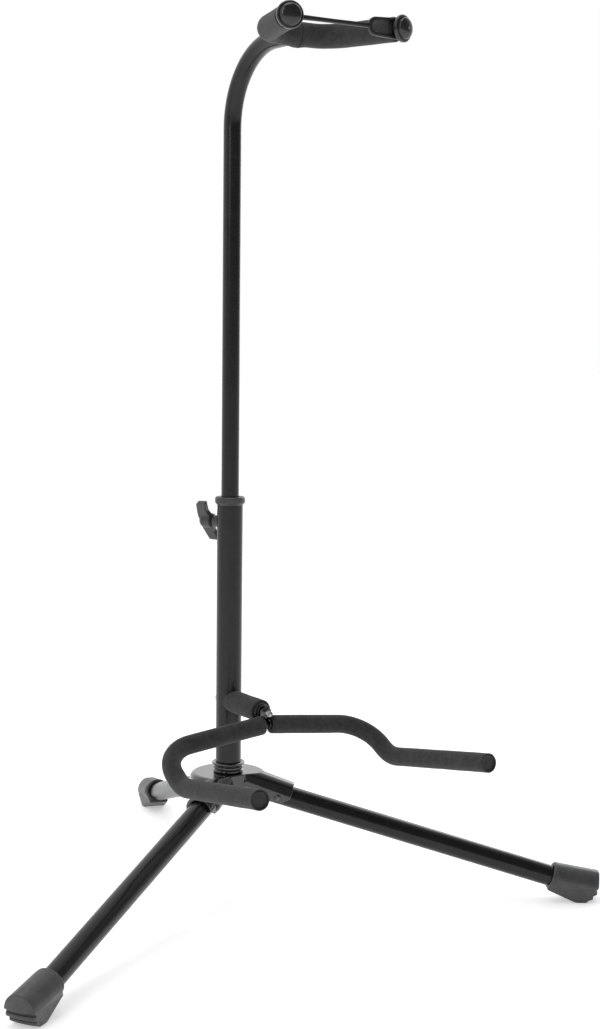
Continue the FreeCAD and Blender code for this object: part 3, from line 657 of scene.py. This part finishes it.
def foam_surface(radius, distance, angle, seed):
    """Slightly uneven outside of a foam sleeve: slow swells and finer lumps."""
    swell = Vector((distance * 0.06, math.cos(angle) * 0.7, math.sin(angle) * 0.7 + seed))
    lump = Vector((distance * 0.35, math.cos(angle) * 2.6, math.sin(angle) * 2.6 + seed * 3))
    return radius + 0.16 * noise.noise(swell) + 0.07 * noise.noise(lump)


def along_spine(spine, profile, place, steps, seed=0.0, outer=None, press=None):
    """Skin of a profile (radius, distance) carried along a bent line.

    A foam gives its outer radius and a seed for its unevenness; press moves points off other parts.
    """
    rings = []
    for radius, distance in profile:
        point, _, side, up = spine.at(distance)
        uneven = outer and radius > outer - FOAM_SKIN
        ring = []
        for step in range(steps):
            angle = 2 * math.pi * step / steps
            reach = foam_surface(radius, distance, angle, seed) if uneven else radius
            spot = point + side * (reach * math.cos(angle)) + up * (reach * math.sin(angle))
            ring.append(place @ (press(spot) if press else spot))
        rings.append(ring)
    return skin(rings, closed=True)


def sleeve_profile(outer, bore, start, end, start_round, end_round, recess=None):
    """Closed profile (radius, distance) of a sleeve: two rounded ends, its bore, and a recess
    (radius, depth) at its far end."""
    first, last = start + 3 * start_round, end - 3 * end_round
    near = rounded([(bore, start), (outer, start, start_round), (outer, first)], segments=7)
    count = round((last - first) / 2)
    body = [Vector((outer, first + (last - first) * (i + 1) / count)) for i in range(count - 1)]
    mouth, depth = recess or (bore, 2)
    far = rounded([(outer, last), (outer, end, end_round), (mouth, end, 0.5), (mouth, end - 2)], segments=6)
    step = [Vector((mouth, end - depth)), Vector((bore, end - depth))] if recess else []
    deep = end - depth - 1
    count = max(2, round((deep - start - 1) / 5))
    walls = [Vector((bore, deep + (start + 1 - deep) * i / count)) for i in range(count + 1)]
    return near + body + far + step + walls


def build_mast():
    """Telescopic tube with its top bend; its front end stops inside the yoke's sleeves."""
    low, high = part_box("mast_tube")
    outer, bore, bend, reach = 8.65, 7.65, 75.0, 107.2
    rim, edge = 8.3, 0.4        # radius and length of the broken edge at each end
    foot, level = low.z / MM, high.z / MM - outer
    corners = [Vector((0, 0, foot)), Vector((0, 0, level)), Vector((0, -reach, level))]
    spine = Spine(bent_path(corners, bend, step=1.5))
    count = 260
    outside = [Vector((outer, edge + (spine.length - 2 * edge) * i / count)) for i in range(count + 1)]
    inside = [Vector((bore, spine.length * (1 - i / count))) for i in range(count + 1)]
    profile = [Vector((rim, 0))] + outside + [Vector((rim, spine.length))] + inside
    hang(piece("mast_bent_tube", [along_spine(spine, profile, POST, 72)], sharp=30),
         "mast", "black_paint", "black_paint", "mast_tube")


CRADLE_Z = Vector(joints["cradle_swivel"]["pos_m"]).z
# a cradle arm's centreline in millimetres from where the bolt's and the post's axes cross:
# x outward, y forward, z up
CRADLE_LINE = [(1.0, 71.25, -11.0), (116.0, 71.25, -24.0), (117.0, 114.0, -48.0), (123.6, 258.7, -24.5)]
CRADLE_BEND = 34.0
CRADLE_FOAM = 9.0


def clear_hardware(spot):
    """Pushes foam forward off the tab behind it, and outward off the nut in its middle."""
    tab_half, tab_front, fade = 7.0, -66.75, 5.0
    nut_radius, nut_back = 6.4, -66
    out = spot.copy()
    near = max(0.0, 1 - max(0.0, abs(out.x) - tab_half) / fade)
    if near > 0:
        out.y = min(out.y, tab_front + (1 - near) * fade)
    reach = math.hypot(out.x, out.z)
    if reach < nut_radius and out.y < nut_back:
        push = nut_radius / max(reach, 0.1)
        out.x, out.z = out.x * push, out.z * push
    return out


def build_cradle():
    """Both arms' foam sleeves, each with its round plug sunk in the tip."""
    place = post_at(CRADLE_Z)
    plug = rounded([
        (0, -5.0), (7.55, -5.0, 0.2), (7.65, -1.5, 0.5), (6.9, -1.0, 0.4), (5.9, -1.45, 0.6), (0, -1.25)])
    for side, sign in (("left", -1), ("right", 1)):
        points = [Vector((sign * x, -y, z)) for x, y, z in CRADLE_LINE]
        spine = Spine(bent_path(points, CRADLE_BEND))
        profile = sleeve_profile(CRADLE_FOAM, ROD_RADIUS, 3.2, spine.length, 3.6, 1.3, recess=(7.75, 5.0))
        foam = along_spine(spine, profile, place, 56, seed=11.0 * sign, outer=CRADLE_FOAM, press=clear_hardware)
        sleeve = piece(f"cradle_sleeve_{side}", [foam], sharp=60)
        hang(sleeve, "cradle", "foam", "foam", f"cradle_foam_{side}")
        tip, tangent, _, up = spine.at(spine.length)
        plug_place = aimed(place @ tip, tangent, across=up)
        hang(piece(f"cradle_tip_plug_{side}", [turned(plug, plug_place, steps=56)]),
             "cradle", "black_plastic", "black_plastic", f"cradle_plug_{side}")


def resampled(outline, count):
    """Points at even distances round a closed outline."""
    loop = list(outline) + [outline[0]]
    lengths = [(b - a).length for a, b in zip(loop, loop[1:])]
    total = sum(lengths)
    out, index, passed = [], 0, 0.0
    for step in range(count):
        goal = total * step / count
        while passed + lengths[index] < goal:
            passed += lengths[index]
            index += 1
        share = (goal - passed) / lengths[index] if lengths[index] > 0 else 0
        out.append(loop[index].lerp(loop[index + 1], share))
    return out


def build_tab():
    """Pressed steel strap that carries both arms, its corners and edges rounded."""
    low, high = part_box("cradle_tab")
    centre = (low + high) / 2
    place = millimetres((centre.x, centre.y, CRADLE_Z), X, Z, -Y)
    top, bottom = (high.z - CRADLE_Z) / MM, (low.z - CRADLE_Z) / MM
    half, thick = (high.x - low.x) / MM / 2, (high.y - low.y) / MM / 2
    tall, bore, edge, lip = 14, 3.15, 0.4, 0.3
    outline = rounded([(half, bottom, 2), (half, top, 5.5), (-half, top, 5.5), (-half, bottom, 2)],
                      closed=True, segments=8)
    rim = resampled(outline, 64)
    angles = [math.atan2(point.y, point.x) for point in rim]
    hole = [Vector((bore * math.cos(angle), bore * math.sin(angle))) for angle in angles]
    rings = []
    for inset, depth in ((edge, -thick), (0, -thick + edge), (0, thick - edge), (edge, thick)):
        shrink_x, shrink_y = 1 - inset / half, 1 - inset / tall
        rings.append([place @ Vector((point.x * shrink_x, point.y * shrink_y, depth)) for point in rim])
    for grow, depth in ((lip, thick), (0, thick - lip), (0, -thick + lip), (lip, -thick)):
        swell = 1 + grow / bore
        rings.append([place @ Vector((point.x * swell, point.y * swell, depth)) for point in hole])
    hang(piece("cradle_tab_strap", [skin(rings, closed=True)], sharp=30),
         "cradle", "black_paint", "black_paint", "cradle_tab")


def build_cradle_mounting():
    """Domed bolt from behind, padded spacer, washer, and the lock nut on the threaded tip."""
    place = aimed((post.x, post.y, CRADLE_Z), -Y)
    shank, thread_start, pitch, thread_depth = 3.0, 56.0, 1.0, 0.5

    def thread(radius, height, angle):
        """Cuts the screw thread into the shank's front end."""
        if radius < 2.9 or height < 50:
            return radius
        turn = (height / pitch - angle / (2 * math.pi)) % 1.0
        return radius - thread_depth * abs(2 * turn - 1)

    head = rounded([(0, -17.7), (3.0, -17.6, 2.0), (6.2, -16.0, 3.0), (7.55, -13.4, 0.8), (7.4, -12.7, 0.2),
                    (shank, -12.7), (shank, thread_start)])
    levels = [Vector((shank, thread_start + pitch / 8 * i)) for i in range(1, 178)]
    tip = [Vector((2.4, 78.6)), Vector((1.9, 79.0)), Vector((0, 79.0))]
    screw = turned(head + levels + tip, place, steps=48, shape=thread)
    hang(piece("cradle_bolt_threaded", [screw], sharp=50), "base", "bright_steel", "dark_steel", "cradle_bolt")

    def saddle(spot):
        """Keeps the pad's inner end on the round post."""
        round_post, pad_end = 12.8, -16
        reach = math.sqrt(max(0.0, round_post ** 2 - min(spot.x ** 2, round_post ** 2)))
        return Vector((spot.x, min(spot.y, -reach) if spot.y > pad_end else spot.y, spot.z))

    spine = Spine([Vector((0, -i, 0)) for i in range(64)])
    outer, bore = 11.0, 6.05
    profile = sleeve_profile(outer, bore, 1.0, 61.5, 0.3, 1.4)
    foam = along_spine(spine, profile, post_at(CRADLE_Z), 56, seed=4.0, outer=outer, press=saddle)
    pad = piece("spacer_sleeve", [foam], sharp=60)
    hang(pad, "base", "foam", "foam", "spacer_foam")

    washer = rounded([(3.05, 61.6), (8.2, 61.6, 0.4), (8.2, 63.2, 0.4), (3.05, 63.2)], closed=True)
    hang(piece("spacer_washer_disc", [turned(washer, place, steps=56, closed=True)]),
         "base", "dark_steel", "dark_steel", "spacer_washer")

    low, high, chamfer_foot, chamfer_slope = 66.6, 71.9, 5.35, 1.9
    flats = hexagon(10.0, lambda height: chamfer_foot + chamfer_slope * min(height - low, high - height))
    nut = [Vector(level) for level in (
        (3.05, low), (5.0, low), (5.77, 67.1), (5.77, 67.6), (5.77, 69.0), (5.77, 70.6), (5.77, 71.2),
        (5.0, 71.6), (4.75, 71.6), (4.6, 71.8), (4.6, 73.0), (4.3, 73.5), (3.7, 73.6), (3.05, 73.3))]
    hang(piece("cradle_lock_nut", [turned(nut, place, steps=96, closed=True, shape=flats)], sharp=28),
         "base", "dark_steel", "dark_steel", "cradle_nut")


# ---------------------------------------------------------------- neck yoke

# half of the yoke's centreline in millimetres from the post's axis: x outward, y forward
YOKE_LINE = [(0.2, 112.0), (34.0, 112.0), (57.3, 185.6)]
YOKE_Z = middle("yoke_rod").z
YOKE_BEND = 26.0
YOKE_FOAM = 11.0


def yoke_swell(spot):
    """The mast's end inside the sleeves shows as a soft bump below their middle seam."""
    bump, half_width = 1.5, 7.0
    near = math.exp(-(spot.x / half_width) ** 2)
    under = max(0.0, -spot.z / YOKE_FOAM)
    return Vector((spot.x, spot.y, spot.z - bump * near * under ** 2))


def build_yoke():
    """Two foam sleeves that meet in the middle, and a cap on each peg."""
    place = post_at(YOKE_Z)
    for side, sign in (("left", -1), ("right", 1)):
        points = [Vector((sign * x, -y, 0)) for x, y in YOKE_LINE]
        spine = Spine(bent_path(points, YOKE_BEND))
        profile = sleeve_profile(YOKE_FOAM, ROD_RADIUS, 0.0, spine.length, 0.9, 1.2)
        foam = along_spine(spine, profile, place, 64, seed=5.0 * sign, outer=YOKE_FOAM, press=yoke_swell)
        sleeve = piece(f"yoke_sleeve_{side}", [foam], sharp=60)
        hang(sleeve, "mast", "foam", "foam", f"yoke_foam_{side}")
        tip, tangent, _, up = spine.at(spine.length)
        build_cap(side, aimed(place @ tip, tangent, across=up))


def build_cap(side, place):
    """Push-on mushroom cap: neck for the strap, rolled flange, groove and low dome."""
    dome, dome_foot, dome_rise, steps = 9.6, 11.3, 3.7, 12
    profile = rounded([
        (ROD_RADIUS, 0), (6.15, 0.05), (6.2, 6.0, 0.6), (10.9, 6.0, 0.6), (12.1, 6.9, 0.9), (12.1, 9.3, 1.0),
        (11.0, 10.4, 0.7), (10.1, 10.0, 0.35), (dome, 10.1, 0.25), (dome, dome_foot)])
    for step in range(1, steps + 1):
        angle = math.pi / 2 * step / steps
        profile.append(Vector((dome * math.cos(angle), dome_foot + dome_rise * math.sin(angle))))
    profile += [Vector((0, 8.0)), Vector((ROD_RADIUS, 8.0)), Vector((ROD_RADIUS, 0))]
    hang(piece(f"yoke_cap_{side}_mushroom", [turned(profile, place, steps=80)]),
         "mast", "gloss_plastic", "gloss_plastic", f"yoke_cap_{side}")


def band(path, halves, place, closed=False, corners=6):
    """Rounded strip along a line in the X-Z plane; halves are (in-plane, depth) half sizes per point."""
    roundness = 0.62        # of the strip's section: 1 is an ellipse, 0 a rectangle
    rings = []
    count = len(path)
    for index, point in enumerate(path):
        ahead = path[(index + 1) % count] if closed or index + 1 < count else point
        back = path[index - 1] if closed or index > 0 else point
        tangent = (ahead - back).normalized()
        normal = Vector((-tangent.y, tangent.x))
        half, deep = halves[index]
        ring = []
        for step in range(4 * corners):
            angle = 2 * math.pi * step / (4 * corners)
            c, s = math.cos(angle), math.sin(angle)
            across = half * math.copysign(abs(c) ** roundness, c)
            depth = deep * math.copysign(abs(s) ** roundness, s)
            spot = point + normal * across
            ring.append(place @ Vector((spot.x, depth, spot.y)))
        rings.append(ring)
    return skin(rings, closed=True) if closed else capped(rings)


def arc(centre_x, radius, start, sweep, steps):
    """Points round a centre on the X axis, one for every step from the start."""
    angles = (start + sweep * i / steps for i in range(steps + 1))
    return [Vector((centre_x + radius * math.cos(angle), radius * math.sin(angle))) for angle in angles]


def build_strap():
    """Elastic band: ring on the left peg, straight run, long loop round the right peg."""
    low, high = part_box("neck_strap")
    place = millimetres((post.x, ((low + high) / 2).y, YOKE_Z), X, Y, Z)
    deep = (high.y - low.y) / MM / 2
    # the pegs' distance from the middle and the band's radius round them; the long loop's inner end
    peg, peg_ring, loop_x, loop_r = 56.4, 7.9, 33.4, 6.4
    # half widths: round a peg, at the loop's inner end, the change from point to point, the straight run
    thin, thick, taper, ends, waist = 1.7, 2.0, 0.03, 2.3, 0.35
    around, half_turn, run, side = 48, 24, 20, 10

    ring = arc(-peg, peg_ring, 0, 2 * math.pi, around)[:-1]
    first, last = 7.4 - peg, loop_x - loop_r + 0.4
    straight = [Vector((first + (last - first) * i / run, 0)) for i in range(run + 1)]
    widths = [(ends - waist * math.sin(math.pi * i / run), deep) for i in range(run + 1)]
    below = [Vector((loop_x, -loop_r)).lerp(Vector((peg, -peg_ring)), i / side) for i in range(1, side)]
    above = [Vector((peg, peg_ring)).lerp(Vector((loop_x, loop_r)), i / side) for i in range(1, side)]
    loop = arc(loop_x, loop_r, math.pi / 2, math.pi, half_turn) + below
    loop += arc(peg, peg_ring, -math.pi / 2, math.pi, half_turn) + above
    halves = [(thick, deep)] * (half_turn + 1) + [(thick - taper * i, deep) for i in range(1, side)]
    halves += [(thin, deep)] * (half_turn + 1) + [(thin + taper * i, deep) for i in range(1, side)]
    solids = [band(ring, [(thin, deep)] * around, place, closed=True), band(straight, widths, place),
              band(loop, halves, place, closed=True)]
    strap = piece("neck_strap_elastic", solids)
    moulded(strap, voxel=0.36, passes=3)
    hang(strap, "mast", "strap_rubber", "strap_rubber", "neck_strap")


# ---------------------------------------------------------------- feet

def foot_frame(side):
    """Millimetres from the post's axis on the floor, X outward along the leg, Y along its fold axis."""
    axis = Vector(joints[f"leg_{side}_fold"]["axis"])
    return millimetres((post.x, post.y, 0), axis.cross(Z), axis, Z)


# side view of a foot in that frame (reach, height, corner radius): sole, three steps, toe, back, mouth
FOOT_SIDE = rounded([
    (323, 12.4, 1.0), (352, 0, 8), (364, 0, 0.8), (366.4, 2.2, 0.4), (370.6, 3.4, 0.6), (371, 5.6, 0.5),
    (369.8, 6.4, 0.2), (375, 9.0, 0.6), (374.8, 11.6, 0.5), (372.9, 12.6, 0.2), (376.6, 15.4, 0.7),
    (376.6, 22), (376.4, 29.4, 1.2), (333.3, 37.8, 0.8)], closed=True, segments=4)
# the mouth's middle in that frame, and the leg tube's slope down into it in degrees
FOOT_MOUTH, LEG_SLOPE = (328.95, 0, 23.96), 16.9


def clamped(value):
    """Value held between 0 and 1."""
    return min(1.0, max(0.0, value))


def eased(value):
    """Smooth step from 0 to 1."""
    share = clamped(value)
    return share * share * (3 - 2 * share)


def foot_boot(place):
    """Solid boot lofted across its width: round back, bowed toe, sides drawn in towards the sole."""
    # the round back's own axis falls outward; the back rises above it and spreads to each side of it
    axis_height, axis_fall, back_rise, back_half, least_half = 83.6, 0.18353, 15.45, 15.2, 10.0
    # the flat-sided part takes over along the foot and widens with height
    flat_start, flat_span, sole_half, sole_flare, flare_height = 330, 28, 12.8, 2.4, 16
    bow_start, bow_span, bow_depth, bow_half = 345, 20, 2.2, 14
    steps = 28
    rings = []
    for step in range(steps + 1):
        share = math.sin(math.pi * (step / steps - 0.5))
        ring = []
        for reach, height in FOOT_SIDE:
            axis = axis_height - axis_fall * reach
            level = min(height, axis + back_rise * math.sqrt(max(0.0, 1 - share ** 2)))
            flat_half = sole_half + sole_flare * eased(level / flare_height)
            below = max(0.0, axis - level)
            round_half = max(least_half, math.sqrt(max(0.0, back_half ** 2 - below ** 2)))
            flat = eased((reach - flat_start) / flat_span)
            across = share * (round_half + (flat_half - round_half) * flat)
            bow = bow_depth * (across / bow_half) ** 2 * clamped((reach - bow_start) / bow_span)
            ring.append(place @ Vector((reach - bow, across, level)))
        rings.append(ring)
    return capped(rings)


def foot_rim(mouth):
    """Rolled bead round the mouth, sinking into the boot below."""
    bead, radius, sink = 2.0, 12.6, 1.8
    around, sides = 72, 18
    rings = []
    for step in range(around):
        turn = 2 * math.pi * step / around
        outward = Vector((0, math.cos(turn), math.sin(turn)))
        reach = radius - sink * max(0.0, -math.sin(turn))
        ring = []
        for part in range(sides):
            angle = 2 * math.pi * part / sides
            ring.append(mouth @ (outward * (reach + bead * math.cos(angle)) + X * (bead * math.sin(angle))))
        rings.append(ring)
    return skin(rings, closed=True)


def bored(item, place, radius, start, end):
    """Cuts a round hole along a frame's X and marks the sharp edges anew."""
    across = place @ Matrix.Rotation(math.pi / 2, 4, "Y")
    tool = piece("BoreTool", [turned([(0, start), (radius, start), (radius, end), (0, end)], across)])
    hole = item.modifiers.new("Bore", "BOOLEAN")
    hole.operation = "DIFFERENCE"
    hole.solver = "FAST"
    hole.object = tool
    bpy.context.view_layer.update()
    bake_modifiers(item)
    item.data.set_sharp_from_angle(angle=math.radians(50))
    bpy.data.objects.remove(tool)


def build_feet():
    """Rubber boots: one moulding each, with a socket for the tube."""
    slope = Matrix.Rotation(math.radians(LEG_SLOPE), 4, "Y")
    for side in LEGS:
        place = foot_frame(side)
        mouth = place @ Matrix.Translation(FOOT_MOUTH) @ slope
        boot = piece(f"foot_{side}_boot", [foot_boot(place), foot_rim(mouth)])
        moulded(boot, voxel=0.42, passes=1)
        bored(boot, mouth, radius=10.9, start=-8.0, end=36.3)
        hang(boot, f"leg_{side}", "rubber", "rubber", f"foot_{side}")


build_post()
build_height_collar()
build_base_collar()
build_hub()
build_rivets()
build_hub_bolt()
build_clutch_boss()
build_wing_knob()
build_cradle()
build_tab()
build_cradle_mounting()
build_mast()
build_yoke()
build_strap()
build_feet()
